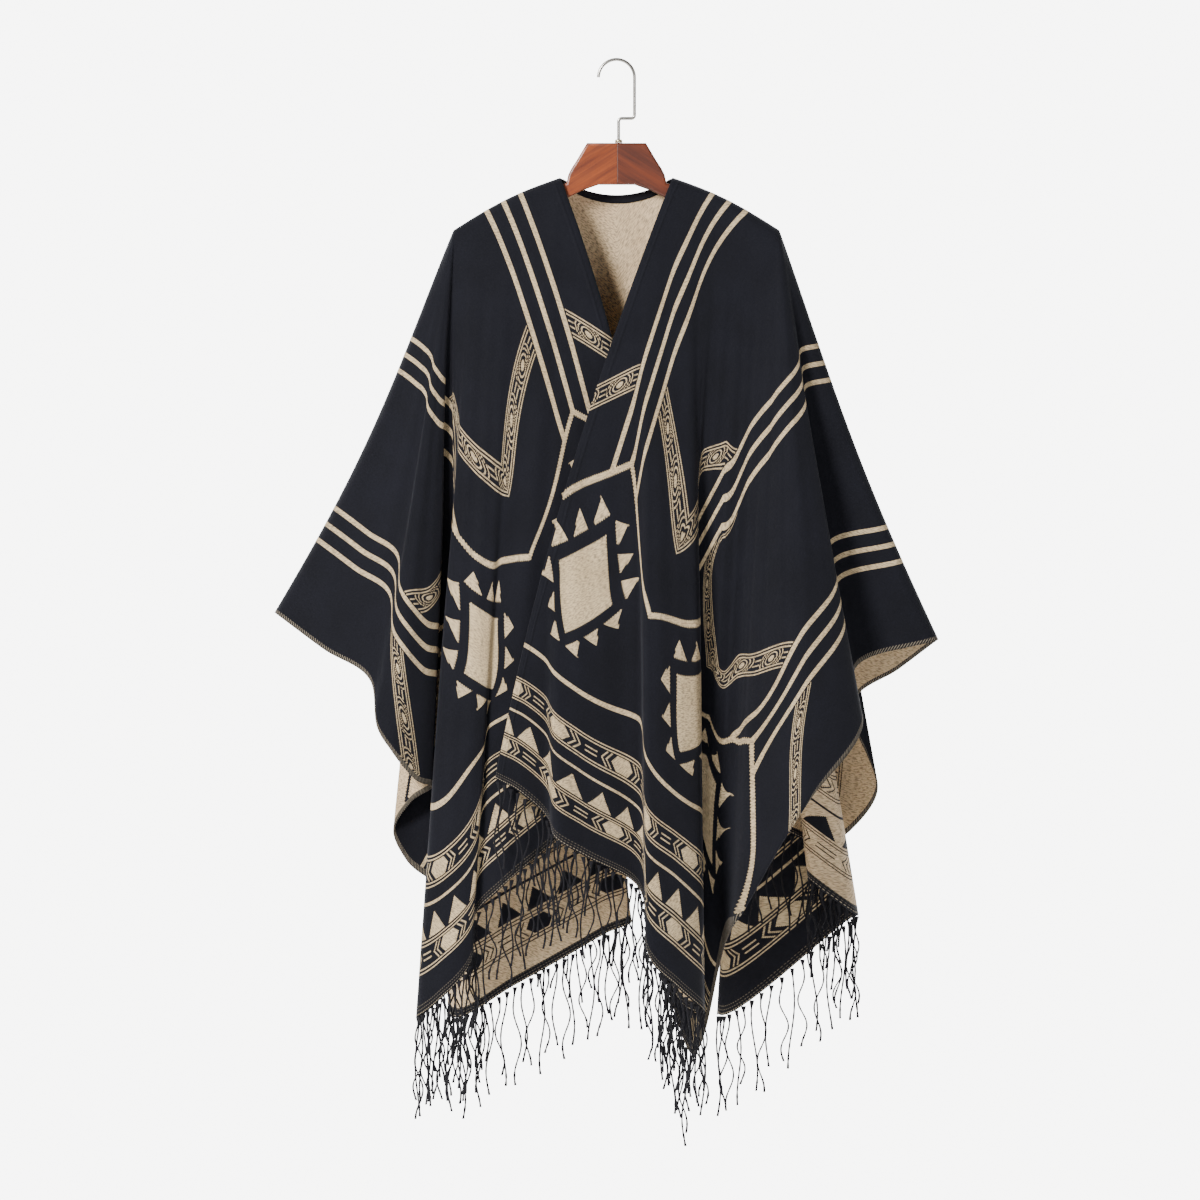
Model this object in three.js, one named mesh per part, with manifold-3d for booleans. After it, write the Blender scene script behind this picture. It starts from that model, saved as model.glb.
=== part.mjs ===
import * as THREE from "three";
import { mergeVertices } from "three/addons/utils/BufferGeometryUtils.js";
import Module from "manifold-3d";

// Open-front woven wrap with fringed hems, hung on a wooden hanger.
// Millimetres, +Z up, fronts towards -Y, origin inside the top of the hook.
// "Right" and "left" are those of a viewer who faces the fronts.

const wasm = await Module();
wasm.setup();

// Cut of the cloth, laid flat
const HALF_WIDTH = 700;
const NECK_HALF_GAP = 70;
const NECK_DROP = 20;
const FRONT_LENGTH = { right: 770, left: 700 };
const BACK_LENGTH = { right: 770, left: 840 };
const CLOTH = 2;
const HALF_BACK = HALF_WIDTH + NECK_HALF_GAP;

// Tape on the inside of the opening edges and the back neck
const TAPE_WIDTH = 10;
const TAPE = 1;
const SEAM_GAP = 0.3;

// Shoulder line of the cloth on the hanger's arm
const SHOULDER = 145;
const RIDGE_RADIUS = 9.5;
const NECK_POINT = new THREE.Vector3(68, 0, -143);
const ARM_POINT = new THREE.Vector3(198, 0, -207);
const SHOULDER_ARCH = 6;
const BACK_NECK_DEPTH = 24;
const BACK_NECK_FALL = 19;

// Fringe
const HEM_STRIP = { drop: 0.9, height: 3, thickness: 1.6 };
const STRAND = { pitch: 16.5, radius: 0.7, length: 110, spread: 14, lean: 4 };

// Hanger
const HOOK = { wire: 2, bend: 22, side: 46, jog: 19.4, corner: 4 };
const FERRULE = { inner: 2.3, outer: 4.6, height: 4 };
const WOOD = { top: -100, thickness: 11, round: 3 };

// The arms carry the cloth: their top runs below the shoulder line at these distances
// along it, as far down as the cloth's half thickness, its round and a seam gap take
const ARM_SEAT = { stations: [15, 43, 77, 111], below: CLOTH / 2 + 1 + SEAM_GAP };

// Stations of the walls: spacing across the cloth, and how many below the tape
const STATION = { across: 34, down: 19 };

// Folds fade out towards the shoulder between these shares of their length
const FADE = { from: 0.02, to: 0.6, blur: 130, samples: 7, falloff: 0.6 };

// The outermost fold lines hang slack between the arm and the tip of the side edge
const SLACK = { right: 10, left: 15, reach: 260, shape: 1.2 };

function table(columns, rows) {
  return rows.map((row) => Object.fromEntries(columns.map((name, k) => [name, row[k]])));
}

// Each row is one fold line. It leaves the opening edge or the shoulder line at start
// and meets the cloth's edge at end, which hangs at x, y, z. The give is the share of
// bias stretch that the line takes near its end rather than near its start.
// Fronts: start is + along the shoulder and - down the opening edge; end runs from the
// opening corner along the hem and then up the side edge.
const FOLD_COLUMNS = ["start", "end", "x", "y", "z", "give"];

const RIGHT_FOLDS = table(FOLD_COLUMNS, [
  [-770, 0, -147, -60, -874, 0],
  [-600, 40, -118, -56, -890, 0.05],
  [-500, 80, -84, -48, -921, 0.08],
  [-450, 118, -72, -78, -948, 0.1],
  [-400, 150, -40, -66, -967, 0.1],
  [-130, 250, 30, -44, -1012, 0.12],
  [-100, 335, 41, -85, -1093, 0.12],
  [-40, 395, 75, -72, -1128, 0.12],
  [22, 450, 104, -45, -1155, 0.12],
  [32, 476, 106, -24, -1160, 0.12],
  [45, 520, 82, -6, -1152, 0.12],
  [62, 580, 56, 10, -1102, 0.12],
  [80, 640, 68, 26, -1150, 0.12],
  [95, 700, 88, 18, -1207, 0.12],
  [120, 880, 134, 10, -1072, 0.12],
  [145, 1041, 161, -45, -1023, 0.12],
  [145, 1134, 206, -75, -943, 0.1],
  [145, 1187, 235, -80, -899, 0.08],
  [145, 1290, 298, -45, -812, 0.05],
  [145, 1367, 290, 12, -742, 0.03],
  [145, 1470, 393, 35, -706, 0],
]);

const LEFT_FOLDS = table(FOLD_COLUMNS, [
  [-700, 0, 55, -8, -826, 0],
  [-350, 130, -12, -14, -886, 0.08],
  [-120, 235, -73, -20, -949, 0.12],
  [0, 335, -143, -35, -1010, 0.14],
  [40, 375, -172, -30, -1040, 0.15],
  [70, 430, -178, -48, -1098, 0.15],
  [100, 500, -218, -50, -1146, 0.15],
  [120, 560, -243, -30, -1165, 0.15],
  [126, 600, -228, 5, -1150, 0.14],
  [145, 700, -195, 42, -1090, 0.12],
  [145, 850, -222, 45, -1005, 0.1],
  [145, 915, -257, 42, -975, 0.08],
  [145, 960, -272, 30, -940, 0.08],
  [145, 1010, -252, 16, -905, 0.06],
  [145, 1070, -225, 5, -885, 0.05],
  [145, 1119, -245, -12, -876, 0.04],
  [145, 1165, -273, -30, -842, 0.03],
  [145, 1200, -290, -25, -815, 0.02],
  [145, 1255, -299, -5, -757, 0.01],
  [145, 1330, -358, 25, -717, 0.01],
  [145, 1400, -418, 60, -673, 0],
]);

// Back: start runs across the shoulders and the neck, end runs from the middle of the
// hem, + to the right and - to the left, past the corner and up the side edge.
const BACK_FOLDS = table(FOLD_COLUMNS, [
  [-215, -1610, -418, 60, -673, 0],
  [-215, -1530, -350, 92, -712, 0.01],
  [-215, -1450, -285, 116, -758, 0.02],
  [-215, -1370, -230, 140, -800, 0.03],
  [-215, -1290, -165, 160, -835, 0.05],
  [-215, -1210, -175, 150, -865, 0.05],
  [-215, -1130, -256, 130, -880, 0.06],
  [-215, -1040, -266, 125, -940, 0.08],
  [-215, -960, -225, 131, -1000, 0.08],
  [-215, -880, -150, 140, -1045, 0.1],
  [-198, -770, -205, 125, -1105, 0.1],
  [-193, -715, -166, 122, -1116, 0.1],
  [-188, -668, -168, 98, -1138, 0.1],
  [-176, -612, -207, 92, -1166, 0.1],
  [-170, -585, -199, 75, -1176, 0.1],
  [-140, -496, -126, 66, -1137, 0.08],
  [-110, -420, -55, 62, -1097, 0.07],
  [-90, -375, -12, 66, -1072, 0.06],
  [-80, -335, 18, 76, -1057, 0.05],
  [-70, -300, -30, 95, -1042, 0.04],
  [-55, -230, -95, 115, -1020, 0.03],
  [-45, -180, -105, 140, -1005, 0.02],
  [-25, -100, -60, 125, -975, 0],
  [0, 0, 15, 100, -951, 0],
  [35, 100, 75, 85, -950, 0],
  [68, 190, 140, 95, -950, 0.01],
  [95, 262, 205, 78, -946, 0.02],
  [112, 305, 240, 94, -962, 0.03],
  [126, 355, 262, 102, -972, 0.04],
  [138, 405, 277, 80, -984, 0.05],
  [150, 462, 236, 58, -998, 0.06],
  [155, 488, 240, 40, -1008, 0.06],
  [162, 530, 291, 76, -1047, 0.07],
  [165, 552, 298, 101, -1051, 0.08],
  [168, 575, 291, 125, -1055, 0.08],
  [195, 770, 125, 155, -1172, 0.1],
  [200, 830, 138, 180, -1122, 0.1],
  [215, 900, 187, 162, -1082, 0.1],
  [215, 990, 145, 177, -1035, 0.1],
  [215, 1060, 131, 193, -1005, 0.1],
  [215, 1140, 202, 181, -975, 0.08],
  [215, 1243, 289, 140, -941, 0.06],
  [215, 1304, 321, 102, -889, 0.04],
  [215, 1345, 309, 93, -850, 0.03],
  [215, 1384, 293, 83, -812, 0.03],
  [215, 1416, 293, 75, -780, 0.02],
  [215, 1478, 346, 56, -742, 0.01],
  [215, 1540, 393, 35, -706, 0],
]);

// Outline of the hanger's right half: the neck down to the cloth, and the arm's end
// and underside. The arm's top between them follows the shoulder line.
const WOOD_NECK = table(["x", "z"], [
  [36, -100],
  [42, -110],
  [48.5, -121],
  [55, -131],
  [59, -139],
  [61, -149],
  [68, -150.6],
]);

const WOOD_UNDERSIDE = table(["x", "z"], [
  [183, -201.2],
  [195, -211],
  [196, -219],
  [190, -226],
  [150, -213],
  [110, -192],
  [80, -176],
  [60, -167],
  [42, -158],
  [22, -151],
]);

const clamp = THREE.MathUtils.clamp;
const lerp = THREE.MathUtils.lerp;

function span(folds, end) {
  let k = 0;
  while (k < folds.length - 2 && end > folds[k + 1].end) k += 1;
  return k;
}

function straight(folds, name, end) {
  const k = span(folds, end);
  const share = (end - folds[k].end) / (folds[k + 1].end - folds[k].end);
  return lerp(folds[k][name], folds[k + 1][name], share);
}

function slope(folds, name, k) {
  const rise = (a, b) => (folds[b][name] - folds[a][name]) / (folds[b].end - folds[a].end);
  if (k === 0) return rise(0, 1);
  if (k === folds.length - 1) return rise(k - 1, k);
  const before = folds[k].end - folds[k - 1].end;
  const after = folds[k + 1].end - folds[k].end;
  return (rise(k - 1, k) * after + rise(k, k + 1) * before) / (before + after);
}

// Smooth curve through one column of the table
function smooth(folds, name, end) {
  const k = span(folds, end);
  const width = folds[k + 1].end - folds[k].end;
  const t = (end - folds[k].end) / width;
  const s = 1 - t;
  return (
    folds[k][name] * (1 + 2 * t) * s * s +
    slope(folds, name, k) * width * t * s * s +
    folds[k + 1][name] * t * t * (3 - 2 * t) -
    slope(folds, name, k + 1) * width * t * t * s
  );
}

function endPoint(folds, end) {
  return new THREE.Vector3(
    smooth(folds, "x", end),
    smooth(folds, "y", end),
    smooth(folds, "z", end)
  );
}

// Where a fold line points at a share of its length: near the shoulder the folds are
// averaged away, near the hem they have their full depth
function fadedEnd(folds, end, share) {
  const sharp = endPoint(folds, end);
  const first = folds[0].end;
  const last = folds[folds.length - 1].end;
  const soft = new THREE.Vector3();
  let weights = 0;
  for (let k = 0; k < FADE.samples; k += 1) {
    const offset = (2 * k) / (FADE.samples - 1) - 1;
    const weight = 1 - FADE.falloff * Math.abs(offset);
    soft.addScaledVector(endPoint(folds, clamp(end + offset * FADE.blur, first, last)), weight);
    weights += weight;
  }
  soft.divideScalar(weights);
  const inside = clamp((end - first) / FADE.blur, 0, 1) * clamp((last - end) / FADE.blur, 0, 1);
  soft.lerpVectors(sharp, soft, inside);
  return soft.lerp(sharp, THREE.MathUtils.smoothstep(share, FADE.from, FADE.to));
}

// The cloth turns over the arm in a quarter circle before it hangs
function overArm(drop) {
  const quarter = (RIDGE_RADIUS * Math.PI) / 2;
  const turn = Math.min(drop, quarter) / RIDGE_RADIUS;
  const fall = RIDGE_RADIUS * (1 - Math.cos(turn)) + Math.max(drop - quarter, 0);
  return { fall, out: RIDGE_RADIUS * Math.sin(turn) };
}

function shoulderPoint(along, side) {
  const share = clamp(along / SHOULDER, 0, 1);
  const point = new THREE.Vector3().lerpVectors(NECK_POINT, ARM_POINT, share);
  point.z += SHOULDER_ARCH * Math.sin(Math.PI * share);
  point.x *= side;
  return point;
}

// Fold line through a point of the flat cloth, found by halving
function foldThrough(folds, flatStart, flatEnd, across, down, handed) {
  let low = folds[0].end;
  let high = folds[folds.length - 1].end;
  for (let k = 0; k < 44; k += 1) {
    const end = (low + high) / 2;
    const a = flatStart(straight(folds, "start", end));
    const b = flatEnd(end);
    const cross = (b.x - a.x) * (down - a.y) - (b.y - a.y) * (across - a.x);
    if (cross * handed > 0) low = end;
    else high = end;
  }
  return (low + high) / 2;
}

// Sideways slack of a fold line, full where the line ends at the tip of a side edge
function slack(folds, end, share) {
  const tip = end < 0 ? folds[0] : folds[folds.length - 1];
  const near = 1 - THREE.MathUtils.smoothstep(Math.abs(tip.end - end), 0, SLACK.reach);
  const depth = tip.x > 0 ? SLACK.right : SLACK.left;
  return -Math.sign(tip.x) * depth * near * Math.sin(Math.PI * share ** SLACK.shape);
}

function pointOnFold(folds, end, flatStart, flatEnd, startPoint, across, down) {
  const start = straight(folds, "start", end);
  const a = flatStart(start);
  const b = flatEnd(end);
  const whole = Math.max(a.distanceTo(b), 1e-6);
  const share = clamp(a.distanceTo(new THREE.Vector2(across, down)) / whole, 0, 1);
  const give = smooth(folds, "give", end);
  const along = (1 - give) * share + give * share * share;
  const point = startPoint(start).lerp(fadedEnd(folds, end, share), along);
  point.x += slack(folds, end, share);
  return point;
}

// Map of a front panel: u across from the opening edge, v down from the shoulder
function frontMap(folds, length, side, bow) {
  const hung = overArm(length).fall;
  const corner = endPoint(folds, 0);
  const flatStart = (start) =>
    new THREE.Vector2(Math.max(start, 0), (Math.max(-start, 0) * hung) / length);
  const flatEnd = (end) =>
    end <= HALF_WIDTH
      ? new THREE.Vector2(end, hung)
      : new THREE.Vector2(HALF_WIDTH, hung - ((end - HALF_WIDTH) * hung) / length);
  const startPoint = (start) => {
    if (start >= 0) return shoulderPoint(start, side);
    const share = clamp(-start / length, 0, 1);
    const neck = shoulderPoint(0, side);
    const point = new THREE.Vector3().lerpVectors(neck, corner, share);
    point.x = lerp(neck.x, corner.x, share * (1 + bow * (1 - share)));
    return point;
  };
  return (u, v) => {
    const arm = overArm(v);
    const end = foldThrough(folds, flatStart, flatEnd, u, arm.fall, -1);
    const point = pointOnFold(folds, end, flatStart, flatEnd, startPoint, u, arm.fall);
    point.y -= arm.out;
    return point;
  };
}

// Height of the shoulder line above the back hem in the flat cloth
function backHeight(u) {
  const share = (clamp(u / NECK_HALF_GAP, -1, 1) + 1) / 2;
  return lerp(BACK_LENGTH.left, BACK_LENGTH.right, share);
}

function neckDrop(u) {
  return NECK_DROP * Math.max(1 - (u / NECK_HALF_GAP) ** 2, 0);
}

function backStart(u) {
  const side = u < 0 ? -1 : 1;
  if (Math.abs(u) >= NECK_HALF_GAP) return shoulderPoint(Math.abs(u) - NECK_HALF_GAP, side);
  const share = u / NECK_HALF_GAP;
  const sag = 1 - share * share;
  const z = NECK_POINT.z - BACK_NECK_FALL * sag;
  return new THREE.Vector3(NECK_POINT.x * share, BACK_NECK_DEPTH * sag, z);
}

// Map of the back: u across from the middle, v down from the shoulder line
function backMap(folds) {
  const flatStart = (start) =>
    new THREE.Vector2(start, backHeight(start) - overArm(neckDrop(start)).fall);
  const flatEnd = (end) =>
    new THREE.Vector2(clamp(end, -HALF_BACK, HALF_BACK), Math.max(Math.abs(end) - HALF_BACK, 0));
  return (u, v) => {
    const arm = overArm(v);
    const height = backHeight(u) - arm.fall;
    const end = foldThrough(folds, flatStart, flatEnd, u, height, 1);
    const point = pointOnFold(folds, end, flatStart, flatEnd, backStart, u, height);
    point.y += arm.out;
    return point;
  };
}

// Point and outward normal of a map; the steps stay inside the cloth
function surface(map, u, v, stepU, stepV) {
  const point = map(u, v);
  const alongU = map(u + stepU, v).sub(point).multiplyScalar(Math.sign(stepU));
  const alongV = map(u, v + stepV).sub(point).multiplyScalar(Math.sign(stepV));
  return { point, normal: alongU.cross(alongV).normalize() };
}

function closedGrid(layers, columns, rows) {
  const positions = [];
  for (const layer of layers) for (const p of layer) positions.push(p.x, p.y, p.z);
  const at = (layer, i, j) => layer * columns * rows + i * rows + j;
  const index = [];
  const quad = (a, b, c, d) => index.push(a, b, c, a, c, d);
  for (let i = 0; i < columns - 1; i += 1) {
    for (let j = 0; j < rows - 1; j += 1) {
      quad(at(0, i, j), at(0, i + 1, j), at(0, i + 1, j + 1), at(0, i, j + 1));
      quad(at(1, i, j), at(1, i, j + 1), at(1, i + 1, j + 1), at(1, i + 1, j));
    }
    quad(at(0, i, 0), at(1, i, 0), at(1, i + 1, 0), at(0, i + 1, 0));
    quad(at(0, i, rows - 1), at(0, i + 1, rows - 1), at(1, i + 1, rows - 1), at(1, i, rows - 1));
  }
  for (let j = 0; j < rows - 1; j += 1) {
    quad(at(0, 0, j), at(0, 0, j + 1), at(1, 0, j + 1), at(1, 0, j));
    const far = columns - 1;
    quad(at(0, far, j), at(1, far, j), at(1, far, j + 1), at(0, far, j + 1));
  }
  const geometry = new THREE.BufferGeometry();
  geometry.setAttribute("position", new THREE.Float32BufferAttribute(positions, 3));
  geometry.setIndex(index);
  return geometry;
}

// Wall of a given thickness over the stations of a map, moved along its normal by lift
function wall(map, columns, rowsOf, thickness, lift = 0) {
  const outer = [];
  const inner = [];
  const rows = rowsOf(columns[0]).length;
  const middle = (columns[0] + columns[columns.length - 1]) / 2;
  for (const u of columns) {
    const list = rowsOf(u);
    for (const v of list) {
      const stepV = v > list[rows - 2] ? -0.5 : 0.5;
      const { point, normal } = surface(map, u, v, u > middle ? -0.5 : 0.5, stepV);
      outer.push(point.clone().addScaledVector(normal, lift + thickness / 2));
      inner.push(point.addScaledVector(normal, lift - thickness / 2));
    }
  }
  return closedGrid([outer, inner], columns.length, rows);
}

function evenly(from, to, pitch) {
  const count = Math.max(Math.round((to - from) / pitch), 1);
  return Array.from({ length: count + 1 }, (_, k) => from + ((to - from) * k) / count);
}

// Stations down the cloth: close ones over the arm's round and the tape, then even ones
function stationsDown(from, to) {
  const close = [0, TAPE_WIDTH / 2, TAPE_WIDTH, 2 * TAPE_WIDTH].map((step) => from + step);
  const pitch = (to - close[3]) / STATION.down;
  return [...close, ...evenly(close[3], to, pitch).slice(1)];
}

// Stations across the cloth, with one at the end of the arm
function stationsAcrossSide(from) {
  const arm = evenly(from, SHOULDER, STATION.across);
  return [...arm, ...evenly(SHOULDER, HALF_WIDTH, STATION.across).slice(1)];
}

function stationsAcrossFront() {
  return [0, ...stationsAcrossSide(TAPE_WIDTH)];
}

function stationsAcrossBack() {
  const side = stationsAcrossSide(0)
    .slice(1)
    .map((u) => u + NECK_HALF_GAP);
  const neck = evenly(-NECK_HALF_GAP, NECK_HALF_GAP, NECK_HALF_GAP / 4);
  return [...side.map((u) => -u).reverse(), ...neck, ...side];
}

function solid(geometry) {
  geometry.deleteAttribute("normal");
  geometry.deleteAttribute("uv");
  const merged = mergeVertices(geometry, 1e-4);
  const mesh = new wasm.Mesh({
    numProp: 3,
    vertProperties: new Float32Array(merged.attributes.position.array),
    triVerts: new Uint32Array(merged.index.array),
  });
  return new wasm.Manifold(mesh);
}

function geometryOf(body) {
  const mesh = body.getMesh();
  const geometry = new THREE.BufferGeometry();
  geometry.setAttribute("position", new THREE.Float32BufferAttribute(mesh.vertProperties, 3));
  geometry.setIndex(Array.from(mesh.triVerts));
  return geometry;
}

// One twisted yarn of the fringe as a three-sided rod that hangs from the strip
function strand(root, number) {
  const length = STRAND.length + STRAND.spread * Math.sin(number * 1.9);
  const x = STRAND.lean * Math.sin(number * 2.4);
  const y = STRAND.lean * Math.cos(number * 1.7);
  const tip = root.clone().add(new THREE.Vector3(x, y, -length));
  const positions = [];
  for (const centre of [root, tip]) {
    for (let k = 0; k < 3; k += 1) {
      const angle = (k * 2 * Math.PI) / 3;
      const across = centre.x + STRAND.radius * Math.cos(angle);
      positions.push(across, centre.y + STRAND.radius * Math.sin(angle), centre.z);
    }
  }
  const index = [0, 1, 2, 3, 5, 4];
  for (let k = 0; k < 3; k += 1) {
    const next = (k + 1) % 3;
    index.push(k, k + 3, next, next, k + 3, next + 3);
  }
  const geometry = new THREE.BufferGeometry();
  geometry.setAttribute("position", new THREE.Float32BufferAttribute(positions, 3));
  geometry.setIndex(index);
  return geometry;
}

// Strip just under a hem with its strands. The strip has the cloth's own stations, so
// that it keeps its distance to the hem; lengthAt gives the hem's v at u.
function fringe(map, stations, lengthAt, firstNumber) {
  const outer = [];
  const inner = [];
  const middle = (stations[0] + stations[stations.length - 1]) / 2;
  const centres = stations.map((u) => {
    const hem = lengthAt(u);
    const { point, normal } = surface(map, u, hem, u > middle ? -0.5 : 0.5, -0.5);
    const down = map(u, hem - hem / STATION.down).sub(point).negate().normalize();
    for (const below of [HEM_STRIP.drop, HEM_STRIP.drop + HEM_STRIP.height]) {
      const place = point.clone().addScaledVector(down, below);
      outer.push(place.clone().addScaledVector(normal, HEM_STRIP.thickness / 2));
      inner.push(place.addScaledVector(normal, -HEM_STRIP.thickness / 2));
    }
    return point.addScaledVector(down, HEM_STRIP.drop + HEM_STRIP.height / 2);
  });
  const parts = [solid(closedGrid([outer, inner], stations.length, 2))];
  for (let k = 0; k < stations.length - 1; k += 1) {
    const count = Math.max(Math.round((stations[k + 1] - stations[k]) / STRAND.pitch), 1);
    for (let n = 0; n < count; n += 1) {
      const root = centres[k].clone().lerp(centres[k + 1], (n + 0.5) / count);
      parts.push(solid(strand(root, firstNumber + parts.length)));
    }
  }
  return geometryOf(wasm.Manifold.union(parts).simplify(0.02));
}

function hookGeometry() {
  const { wire, bend, side, jog, corner } = HOOK;
  const centre = -(bend - wire);
  const path = new THREE.CurvePath();
  const at = (x, z) => new THREE.Vector3(x, 0, z);
  const arch = Array.from({ length: 13 }, (_, k) => {
    const angle = Math.PI * (1 - k / 12);
    return at(bend * Math.cos(angle), centre + bend * Math.sin(angle));
  });
  const foot = centre - side;
  const floor = foot - corner;
  path.add(new THREE.CatmullRomCurve3(arch));
  path.add(new THREE.LineCurve3(at(bend, centre), at(bend, foot)));
  path.add(new THREE.QuadraticBezierCurve3(at(bend, foot), at(bend, floor), at(bend - corner, floor)));
  path.add(new THREE.LineCurve3(at(bend - corner, floor), at(bend - jog + corner, floor)));
  path.add(
    new THREE.QuadraticBezierCurve3(
      at(bend - jog + corner, floor),
      at(bend - jog, floor),
      at(bend - jog, floor - corner)
    )
  );
  path.add(
    new THREE.LineCurve3(at(bend - jog, floor - corner), at(bend - jog, WOOD.top + SEAM_GAP))
  );
  const section = new THREE.Shape();
  section.absarc(0, 0, wire, 0, 2 * Math.PI, false);
  return new THREE.ExtrudeGeometry(section, { steps: 44, curveSegments: 4, extrudePath: path });
}

function ferruleGeometry() {
  const { inner, outer, height } = FERRULE;
  const profile = [
    new THREE.Vector2(inner, 0),
    new THREE.Vector2(outer, 0),
    new THREE.Vector2(outer, height - 1),
    new THREE.Vector2(outer - 1, height),
    new THREE.Vector2(inner, height),
    new THREE.Vector2(inner, 0),
  ];
  const geometry = new THREE.LatheGeometry(profile, 20);
  geometry.rotateX(Math.PI / 2);
  geometry.translate(HOOK.bend - HOOK.jog, 0, WOOD.top + SEAM_GAP);
  return geometry;
}

function woodGeometry() {
  const { round, thickness } = WOOD;
  const seat = ARM_SEAT.stations.map((along) => {
    const { x, z } = shoulderPoint(along, 1);
    return { x, z: z - ARM_SEAT.below };
  });
  const outline = [...WOOD_NECK, ...seat, ...WOOD_UNDERSIDE];
  const right = outline.map(({ x, z }) => new THREE.Vector2(x, z));
  const left = right.map((p) => new THREE.Vector2(-p.x, p.y)).reverse();
  const shape = new THREE.Shape([...right, ...left]);
  const geometry = new THREE.ExtrudeGeometry(shape, {
    depth: thickness - 2 * round,
    bevelThickness: round,
    bevelSize: round,
    bevelOffset: -round,
    bevelSegments: 3,
  });
  geometry.translate(0, 0, -thickness / 2 + round);
  geometry.rotateX(Math.PI / 2);
  return geometry;
}

const NAVY = { color: 0x24273a, roughness: 0.95, metalness: 0 };
const BLACK = { color: 0x17171c, roughness: 0.95, metalness: 0 };
const CHERRY = { color: 0x8a3f1c, roughness: 0.4, metalness: 0 };
const STEEL = { color: 0xc4c6c8, roughness: 0.25, metalness: 1 };
const BRASS = { color: 0xb89a62, roughness: 0.35, metalness: 1 };

const group = new THREE.Group();

function add(name, geometry, finish) {
  const mesh = new THREE.Mesh(geometry, new THREE.MeshStandardMaterial(finish));
  mesh.name = name;
  group.add(mesh);
}

const maps = {
  right: frontMap(RIGHT_FOLDS, FRONT_LENGTH.right, 1, 0.35),
  left: frontMap(LEFT_FOLDS, FRONT_LENGTH.left, -1, 1.1),
  back: backMap(BACK_FOLDS),
};

// A tape lies on the inside of its panel, a seam gap away from it. The normal of the
// right front's map points inwards, those of the left front's and the back's outwards.
const tapeLift = CLOTH / 2 + SEAM_GAP + TAPE / 2;

for (const [side, inward] of [["right", 1], ["left", -1]]) {
  const rows = stationsDown(SEAM_GAP, FRONT_LENGTH[side]);
  const map = maps[side];
  add(`cloth_front_${side}`, wall(map, stationsAcrossFront(), () => rows, CLOTH), NAVY);
  const tape = wall(map, [0, TAPE_WIDTH], () => rows, TAPE, tapeLift * inward);
  add(`tape_front_${side}`, tape, NAVY);
}

const backRows = (u) => stationsDown(SEAM_GAP + neckDrop(u), backHeight(u));
add("cloth_back", wall(maps.back, stationsAcrossBack(), backRows, CLOTH), NAVY);

const neckStations = evenly(-NECK_HALF_GAP + 0.5, NECK_HALF_GAP - 0.5, NECK_HALF_GAP / 4);
add("tape_neck", wall(maps.back, neckStations, (u) => backRows(u).slice(0, 3), TAPE, -tapeLift), NAVY);

const fronts = stationsAcrossFront();
const across = stationsAcrossBack();
add("fringe_front_right", fringe(maps.right, fronts, () => FRONT_LENGTH.right, 0), BLACK);
add("fringe_front_left", fringe(maps.left, fronts, () => FRONT_LENGTH.left, 50), BLACK);
add("fringe_back_right", fringe(maps.back, across.filter((u) => u > 1), backHeight, 100), BLACK);
add("fringe_back_left", fringe(maps.back, across.filter((u) => u < 1), backHeight, 150), BLACK);

add("hanger_wood", woodGeometry(), CHERRY);
add("hanger_hook", hookGeometry(), STEEL);
add("hanger_ferrule", ferruleGeometry(), BRASS);

export default group;
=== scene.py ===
import math

import bmesh
import bpy
import numpy as np
from mathutils import Matrix, Vector


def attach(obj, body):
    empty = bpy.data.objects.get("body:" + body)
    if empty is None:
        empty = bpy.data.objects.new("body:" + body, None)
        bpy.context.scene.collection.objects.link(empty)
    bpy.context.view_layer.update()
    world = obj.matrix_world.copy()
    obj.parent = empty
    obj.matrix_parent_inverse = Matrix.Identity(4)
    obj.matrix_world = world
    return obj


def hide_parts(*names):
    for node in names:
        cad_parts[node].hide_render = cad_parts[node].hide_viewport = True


# Open-front woven wrap with fringed hems, hung on a wooden hanger.
# Sizes are in millimetres until a mesh is filled, which takes metres.
# "Right" and "left" are those of a viewer who faces the fronts.

MM = 0.001

# Cut of the cloth, laid flat
HALF_WIDTH = 700.0
NECK_HALF_GAP = 70.0
NECK_DROP = 20.0
FRONT_LENGTH = {"right": 770.0, "left": 700.0}
BACK_LENGTH = {"right": 770.0, "left": 840.0}
CLOTH = 2.0
HALF_BACK = HALF_WIDTH + NECK_HALF_GAP

# Tape on the inside of the opening edges and the back neck
TAPE_WIDTH = 10.0
TAPE = 1.0
SEAM_GAP = 0.3

# Shoulder line of the cloth on the hanger's arm
SHOULDER = 145.0
RIDGE_RADIUS = 9.5
NECK_POINT = np.array([68.0, 0.0, -143.0])
ARM_POINT = np.array([198.0, 0.0, -207.0])
SHOULDER_ARCH = 6.0
BACK_NECK_DEPTH = 24.0
BACK_NECK_FALL = 19.0

# Fringe
STRAND = {"pitch": 12.5, "radius": 1.15, "length": 110.0, "spread": 14.0, "lean": 4.0}

# Hanger
HOOK = {"wire": 2.0, "bend": 22.0, "side": 46.0, "jog": 19.4, "corner": 4.0}
FERRULE = {"inner": 2.3, "outer": 4.6, "height": 4.0}
WOOD = {"top": -100.0, "thickness": 11.0, "round": 3.0}
ARM_SEAT = {"stations": (15, 43, 77, 111), "below": CLOTH / 2 + 1 + SEAM_GAP}

# Folds fade out towards the shoulder between these shares of their length
FADE = {"from": 0.02, "to": 0.6, "blur": 130.0, "samples": 7, "falloff": 0.6}

# The outermost fold lines hang slack between the arm and the tip of the side edge
SLACK = {"right": 10.0, "left": 15.0, "reach": 260.0, "shape": 1.2}


def table(columns, rows):
    return {name: np.array([row[k] for row in rows], float) for k, name in enumerate(columns)}


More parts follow.
